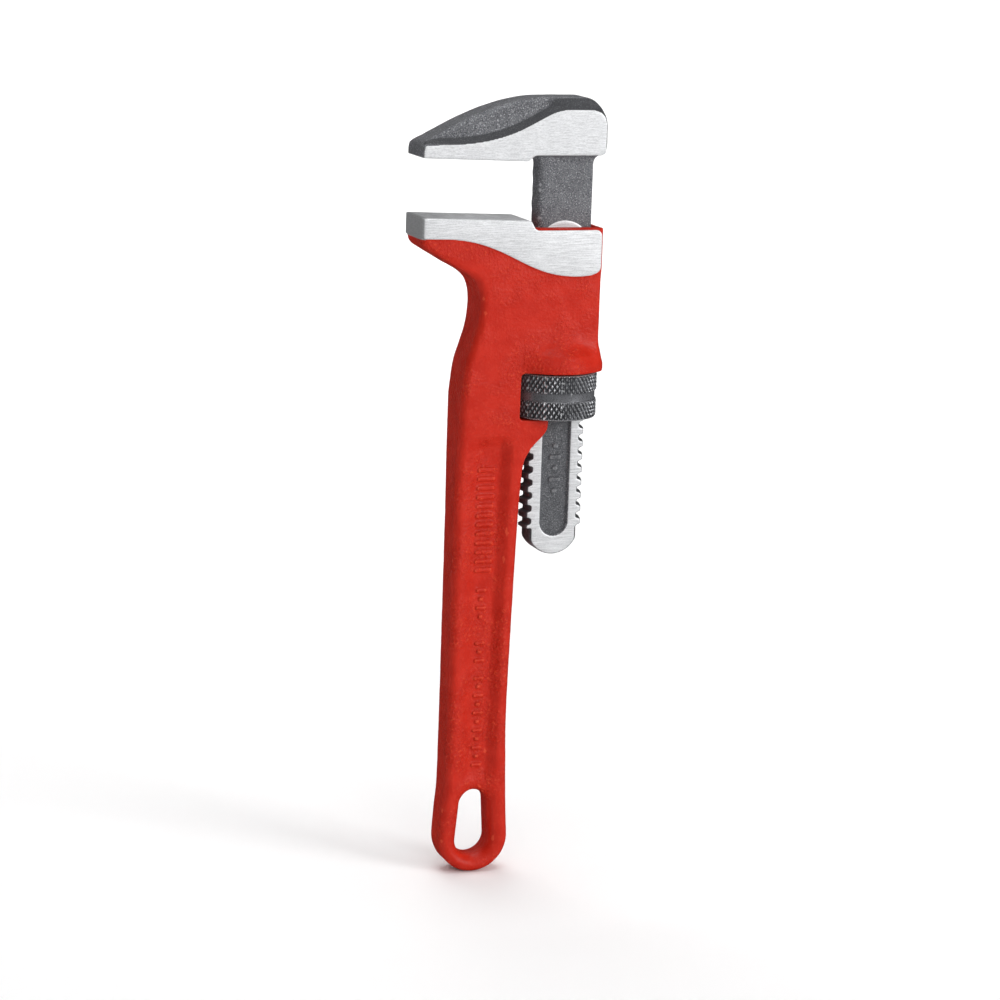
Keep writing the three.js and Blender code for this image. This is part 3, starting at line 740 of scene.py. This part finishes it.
class Finish:
    """One node material, with short names for the nodes that the finishes share."""

    def __init__(self, name, metallic=0.0, roughness=0.5, **sockets):
        self.material = bpy.data.materials.new(name)
        self.material.use_nodes = True
        self.tree = self.material.node_tree
        self.shader = self.tree.nodes["Principled BSDF"]
        self.set("Metallic", metallic)
        self.set("Roughness", roughness)
        for key, value in sockets.items():
            self.set(key.replace("_", " "), value)
        self.place = add(self.tree, "ShaderNodeTexCoord").outputs["Object"]

    def set(self, key, value):
        if isinstance(value, bpy.types.NodeSocket):
            self.tree.links.new(value, self.shader.inputs[key])
        else:
            self.shader.inputs[key].default_value = value

    def noise(self, per_mm, detail=3.0, rough=0.55, stretch=None):
        place = self.place
        if stretch:
            place = add(self.tree, "ShaderNodeMapping", {0: place, "Scale": stretch}).outputs[0]
        inputs = {"Vector": place, "Scale": per_mm / MM, "Detail": detail, "Roughness": rough}
        return add(self.tree, "ShaderNodeTexNoise", inputs).outputs[0]

    def spots(self, per_mm):
        inputs = {"Vector": self.place, "Scale": per_mm / MM}
        return add(self.tree, "ShaderNodeTexVoronoi", inputs).outputs[0]

    def math(self, operation, a, b=0.0):
        return add(self.tree, "ShaderNodeMath", {0: a, 1: b}, operation=operation).outputs[0]

    def all_of(self, first, *others):
        """The product of several shares."""
        for other in others:
            first = self.math("MULTIPLY", first, other)
        return first

    def any_of(self, first, *others):
        """The largest of several shares."""
        for other in others:
            first = self.math("MAXIMUM", first, other)
        return first

    def range(self, value, low, high, start=0.0, end=1.0):
        """A soft step from start, where the value is low, to end, where it is high."""
        inputs = {0: value, 1: low, 2: high, 3: start, 4: end}
        node = add(self.tree, "ShaderNodeMapRange", inputs, interpolation_type="SMOOTHSTEP")
        return node.outputs[0]

    def spread(self, noise, start=0.0, end=1.0):
        """The usual values of a noise, spread over start to end."""
        return self.range(noise, 0.3, 0.7, start, end)

    def mix(self, share, a, b):
        """A colour between a and b, each a socket or a screen colour."""
        node = add(self.tree, "ShaderNodeMix", {0: share}, data_type="RGBA")
        for index, value in ((6, a), (7, b)):
            if isinstance(value, bpy.types.NodeSocket):
                self.tree.links.new(value, node.inputs[index])
            else:
                node.inputs[index].default_value = linear(value)
        return node.outputs[2]

    def blend(self, share, a, b):
        """A number between a and b."""
        node = add(self.tree, "ShaderNodeMix", {0: share, 2: a, 3: b}, data_type="FLOAT")
        return node.outputs[0]

    def axes(self):
        """Position in millimetres about the shank's axis: X, the distance off centre, and Z."""
        parts = add(self.tree, "ShaderNodeSeparateXYZ", {0: self.place}).outputs
        x = self.math("MULTIPLY_ADD", parts[0], 1 / MM)
        x.node.inputs[2].default_value = -AXIS[0] / MM
        z = self.math("MULTIPLY_ADD", parts[2], 1 / MM)
        z.node.inputs[2].default_value = -AXIS[2] / MM
        return x, self.math("MULTIPLY", self.math("ABSOLUTE", parts[1]), 1 / MM), z

    def over_jaw_face(self, x, z, opening=0.0):
        """Height over the fixed jaw's sloping face, or over the hook's face at its opening."""
        level = self.math("SUBTRACT", z, JAW_FACE_Z + opening + JAW_SLOPE * THROAT_X)
        return self.math("ADD", level, self.math("MULTIPLY", x, JAW_SLOPE))

    def edges(self, low, high, most=1.0):
        """`most` on outer edges, or in hollows if low is above high, from the curvature."""
        pointiness = add(self.tree, "ShaderNodeNewGeometry").outputs["Pointiness"]
        return self.math("MULTIPLY", self.range(pointiness, low, high), most)

    def bump(self, height, distance_mm):
        inputs = {"Height": height, "Distance": distance_mm * MM, "Strength": 1.0}
        self.set("Normal", add(self.tree, "ShaderNodeBump", inputs).outputs[0])


def ground_steel(f):
    """Colour, roughness and bump height of bare ground steel: fine scratches along the jaws."""
    hairs = f.noise(1.2, 2.0, 0.6, (0.16, 0.6, 6.0))
    grain = f.noise(2.4, 3.0, 0.7, (0.6, 1.0, 1.6))
    tone = f.range(f.blend(0.4, hairs, grain), 0.36, 0.62)
    colour = f.mix(tone, shade(GROUND_STEEL, -34), shade(GROUND_STEEL, 10))
    return colour, f.spread(grain, 0.34, 0.44), hairs


def red_enamel():
    """Red enamel over a sand casting, with the jaw face and its sides ground bare."""
    f = Finish("red_enamel", Specular_IOR_Level=0.18)
    x, y, z = f.axes()
    on_face = f.all_of(f.range(f.over_jaw_face(x, z), -0.5, -0.15),
                       f.range(x, THROAT_X + 1.5, THROAT_X + 0.5))
    on_side = f.all_of(f.range(y, HEAD_HALF + 0.3, HEAD_HALF + 0.55), f.range(z, 42, 44))
    on_nose = f.all_of(f.range(x, NOSE_X + 2.0, NOSE_X + 1.6), f.range(z, 60.2, 60.7))
    bare = f.any_of(on_face, on_side, on_nose)
    # The bare steel is darker towards the nose on the jaw face, and on the nose's end face.
    nose_darkening = f.all_of(on_face, f.range(x, NOSE_X + 18, NOSE_X + 2, 0.0, 0.3))
    nose_darkening = f.any_of(nose_darkening, f.all_of(on_nose, 0.55))
    nose_darkening = f.all_of(nose_darkening, f.range(y, GROUND_HALF - 0.05, GROUND_HALF - 0.35))

    cast = f.noise(0.16, 3.0, 0.5)
    peel = f.noise(0.9, 3.0, 0.6)
    patch = f.range(f.noise(0.06, 2.0), 0.42, 0.6, 0.25, 1.0)
    # Painted highlight: light glints on the peaks of the orange peel, in place of reflections.
    painted_glint = f.all_of(patch, f.range(peel, 0.55, 0.7, 0.0, 0.5))
    pit = f.all_of(patch, f.range(peel, 0.45, 0.32, 0.0, 0.15))
    tone = f.mix(f.spread(cast), ENAMEL_DARK, ENAMEL_LIGHT)
    tone = f.mix(painted_glint, tone, ENAMEL_PAINTED_GLINT)
    tone = f.mix(pit, tone, ENAMEL_PIT)
    # Painted shade: darker in the casting's hollows.
    tone = f.mix(f.edges(0.48, 0.41, 0.25), tone, ENAMEL_HOLLOW_SHADE)
    # Painted highlight: lighter on the outer edges and the raised bars.
    tone = f.mix(f.edges(0.52, 0.57, 0.5), tone, ENAMEL_EDGE_HIGHLIGHT)
    tone = f.mix(f.range(f.spots(0.45), 0.0, 0.12, 0.35, 0.0), tone, ENAMEL_DUST)

    steel, steel_rough, steel_height = ground_steel(f)
    steel = f.mix(nose_darkening, steel, DARKER_NOSE_STEEL)
    f.set("Base Color", f.mix(bare, tone, steel))
    f.set("Metallic", f.all_of(bare, BARE_METALLIC))
    f.set("Roughness", f.blend(bare, f.spread(peel, 0.3, 0.45), steel_rough))
    f.bump(f.blend(bare, f.all_of(peel, patch), f.all_of(steel_height, 0.05)), 0.7)
    return f.material


def forged_steel():
    """Dark forging scale, with the jaw's sides, the shank's faces and the threads ground bare."""
    f = Finish("forged_steel", Specular_IOR_Level=0.2)
    x, y, z = f.axes()
    on_hook = f.range(z, 84, 86)
    on_face = f.all_of(f.range(f.over_jaw_face(x, z, JAW_OPENING), 0.5, 0.2),
                       f.range(x, THROAT_X + 1, THROAT_X), on_hook)
    on_pad = f.all_of(f.range(y, HOOK_HALF - 0.3, HOOK_HALF - 0.12), on_hook)
    on_shank = f.all_of(f.range(y, SHANK_HALF - 0.16, SHANK_HALF - 0.1), f.range(z, 68, 66.8))
    bare = f.any_of(on_face, on_pad, on_shank)

    # Painted shade on the steep wall beside the ground pad and over the thread's teeth; the sunk
    # panel is also made darker.
    pad_wall_shade = f.all_of(f.range(y, HOOK_WEB_HALF + 0.3, HOOK_WEB_HALF + 0.9),
                          f.range(z, 95.2, 96.2))
    in_panel = f.all_of(f.range(y, SHANK_HALF - 0.2, SHANK_HALF - 0.6), f.range(z, 26, 24),
                        f.range(x, PANEL_X - PANEL_HALF_WIDTH - 0.4, PANEL_X - PANEL_HALF_WIDTH))
    in_thread = f.all_of(f.range(z, THREAD_TOP, THREAD_TOP - 2),
                         f.range(f.math("ABSOLUTE", x), 8, 9))
    painted_shade_and_dark = f.any_of(f.all_of(pad_wall_shade, 0.8), f.all_of(in_panel, 0.45), f.all_of(in_thread, 0.75))

    grain = f.noise(1.9, 3.0, 0.65)
    tone = f.mix(f.spread(f.noise(0.3, 3.0, 0.55)), SCALE_DARK, SCALE_LIGHT)
    tone = f.mix(f.range(grain, 0.54, 0.68, 0.0, 0.8), tone, SCALE_GLINT)
    tone = f.mix(f.range(grain, 0.46, 0.36, 0.0, 0.7), tone, SCALE_PIT)
    # Painted shade: darker in the hollows.
    tone = f.mix(f.edges(0.47, 0.38, 0.8), tone, SCALE_HOLLOW_SHADE)
    # Painted highlight: lighter on the outer edges and the raised bars.
    tone = f.mix(f.edges(0.52, 0.57, 0.6), tone, SCALE_EDGE_HIGHLIGHT)
    # Painted shade beside the pad and on the thread, and a darker sunk panel.
    tone = f.mix(painted_shade_and_dark, tone, SCALE_SHADE_AND_DARK)

    steel, steel_rough, steel_height = ground_steel(f)
    f.set("Base Color", f.mix(bare, tone, steel))
    f.set("Metallic", f.all_of(bare, BARE_METALLIC))
    f.set("Roughness", f.blend(bare, f.spread(grain, 0.42, 0.6), steel_rough))
    f.bump(f.blend(bare, grain, f.all_of(steel_height, 0.15)), 0.12)
    return f.material


def blackened_steel():
    """Blackened steel, lighter in the nut's groove, and lighter on the points of its knurl from
    wear and a painted highlight.
    """
    f = Finish("blackened_steel", metallic=0.5)
    fine = f.noise(2.0, 3.0)
    height = f.math("ABSOLUTE", f.axes()[2])
    tone = f.mix(f.range(f.noise(0.4, 4.0), 0.35, 0.65), BLACKING_DARK, BLACKING_LIGHT)
    # Lighter in the nut's groove.
    tone = f.mix(f.range(height, GROOVE_HALF, GROOVE_HALF - 0.5, 0.0, 0.7), tone, BLACKING_GROOVE_TONE)
    # Painted shade: darker in hollows such as the knurl's valleys.
    tone = f.mix(f.edges(0.49, 0.43), tone, BLACKING_HOLLOW_SHADE)
    # Lighter on the knurl's points: partly wear, partly a painted highlight.
    tone = f.mix(f.edges(0.53, 0.58, 0.9), tone, BLACKING_EDGE_WEAR_AND_GLINT)
    f.set("Base Color", tone)
    f.set("Roughness", f.spread(fine, 0.24, 0.38))
    f.bump(fine, 0.04)
    return f.material


def bright_steel(name, colour):
    f = Finish(name, metallic=0.9)
    fine = f.noise(1.6, 3.0, 0.6, (0.3, 1.0, 1.0))
    f.set("Base Color", f.mix(fine, shade(colour, -20), shade(colour, 15)))
    f.set("Roughness", f.spread(fine, 0.28, 0.42))
    f.bump(fine, 0.02)
    return f.material


# ---- the pieces ----
housing_samples = Samples((NOSE_X, -COLLAR_RADIUS, HOUSING_LOW[2]),
                          (COLLAR_RADIUS, COLLAR_RADIUS, HOUSING_HIGH[2]))
field_piece("cast_housing", housing_field(housing_samples), housing_samples,
            "housing", "handle_housing", red_enamel())
hook_samples = Samples((NOSE_X, -HOOK_HALF, HOOK_LOW[2]), (HOOK_BACK, HOOK_HALF, HOOK_TOP))
field_piece("forged_hook_jaw", hook_field(hook_samples), hook_samples,
            "jaw", "hook_jaw", forged_steel())

nut_points, nut_faces = nut_mesh()
nut = mesh_object("knurled_nut", nut_points, nut_faces, "nut", "adjusting_nut",
                  blackened_steel())
nut.data.set_sharp_from_angle(angle=math.radians(40))

for node, colour in (("flat_spring", SPRING_STEEL), ("coil_spring", SPRING_STEEL),
                     ("spring_rivet", RIVET_STEEL)):
    material = bright_steel(node + "_finish", colour)
    for material_slot in frame["nodes"][node].material_slots:
        material_slot.material = material

# ---- floor and world ----
FLOOR_WIDTH = 6.0
FLOOR_NEAR = -4.0
BACK_Y = 3.0
BEND = 1.5
BEND_STEPS = 16
WALL = 4.0
WORLD_STRENGTH = 0.29

profile = [(FLOOR_NEAR, 0.0), (BACK_Y - BEND, 0.0)]
for k in range(1, BEND_STEPS + 1):
    angle = math.pi / 2 * k / BEND_STEPS
    profile.append((BACK_Y - BEND + BEND * math.sin(angle), BEND - BEND * math.cos(angle)))
profile.append((BACK_Y, WALL))
sweep = [(x, y, z) for y, z in profile for x in (-FLOOR_WIDTH, FLOOR_WIDTH)]
sheet = bpy.data.meshes.new("floor")
sheet.from_pydata(sweep, [], [(k, k + 1, k + 3, k + 2) for k in range(0, len(sweep) - 2, 2)])
sheet.polygons.foreach_set("use_smooth", [True] * len(sheet.polygons))
floor = bpy.data.objects.new("floor", sheet)
bpy.context.scene.collection.objects.link(floor)
paper = Finish("pale_paper", roughness=0.9)
paper.set("Base Color", linear(PAPER))
sheet.materials.append(paper.material)
floor.visible_glossy = False

world = bpy.data.worlds.new("studio")
world.use_nodes = True
world.node_tree.nodes["Background"].inputs["Color"].default_value = (1, 1, 1, 1)
world.node_tree.nodes["Background"].inputs["Strength"].default_value = WORLD_STRENGTH
bpy.context.scene.world = world
world.cycles_visibility.glossy = False


# ---- lights ----
MIDDLE = Vector((0.0, 0.0, 0.16))
OVERHEAD = 2.4


def softbox(name, place, target, size, watts):
    """A square area light that faces the target."""
    data = bpy.data.lights.new(name, "AREA")
    data.shape = "SQUARE"
    data.size = size
    data.energy = watts
    lamp = bpy.data.objects.new(name, data)
    lamp.location = place
    lamp.rotation_euler = (target - place).to_track_quat("-Z", "Y").to_euler()
    bpy.context.scene.collection.objects.link(lamp)


def around(azimuth, elevation, distance):
    """A place around the wrench; azimuth 0 is in front and 90 at its back edge."""
    a, e = math.radians(azimuth), math.radians(elevation)
    towards = Vector((math.sin(a) * math.cos(e), -math.cos(a) * math.cos(e), math.sin(e)))
    return MIDDLE + distance * towards


softbox("key", around(42, 16, 1.8), MIDDLE, size=0.7, watts=16.5)
softbox("front", around(-4, 22, 2.4), MIDDLE, size=1.1, watts=10.5)
softbox("table", Vector((0, -0.3, OVERHEAD)), Vector((0, -0.2, 0)), size=1.4, watts=20)
softbox("sweep", Vector((0, 1.5, OVERHEAD)), Vector((0, 4.0, 0)), size=1.6, watts=60)

# ---- camera ----
CAMERA_AZIMUTH = math.radians(-20)
CAMERA_PITCH = math.radians(12)
CAMERA_ROLL = math.radians(1.9)
NUT_RIGHT = math.radians(1.022)        # the nut's place off the middle of the view
NUT_UP = math.radians(2.071)
NUT_DISTANCE = 1.155
FOCAL_LENGTH = 108
SENSOR_WIDTH = 36

sin_a, cos_a = math.sin(CAMERA_AZIMUTH), math.cos(CAMERA_AZIMUTH)
sin_p, cos_p = math.sin(CAMERA_PITCH), math.cos(CAMERA_PITCH)
ahead = Vector((-sin_a * cos_p, cos_a * cos_p, -sin_p))
level = Vector((cos_a, sin_a, 0))
upright = level.cross(ahead)
right = math.cos(CAMERA_ROLL) * level + math.sin(CAMERA_ROLL) * upright
up = math.cos(CAMERA_ROLL) * upright - math.sin(CAMERA_ROLL) * level
to_nut = (math.tan(NUT_RIGHT) * right + math.tan(NUT_UP) * up + ahead).normalized()
lens = bpy.data.cameras.new("camera")
lens.lens = FOCAL_LENGTH
lens.sensor_width = SENSOR_WIDTH
lens.clip_end = 20
camera = bpy.data.objects.new("camera", lens)
turn = Matrix((right, up, -ahead)).transposed().to_4x4()
camera.matrix_world = Matrix.Translation(Vector(AXIS) - NUT_DISTANCE * to_nut) @ turn
bpy.context.scene.collection.objects.link(camera)
bpy.context.scene.camera = camera
bpy.context.scene.view_settings.view_transform = "Standard"
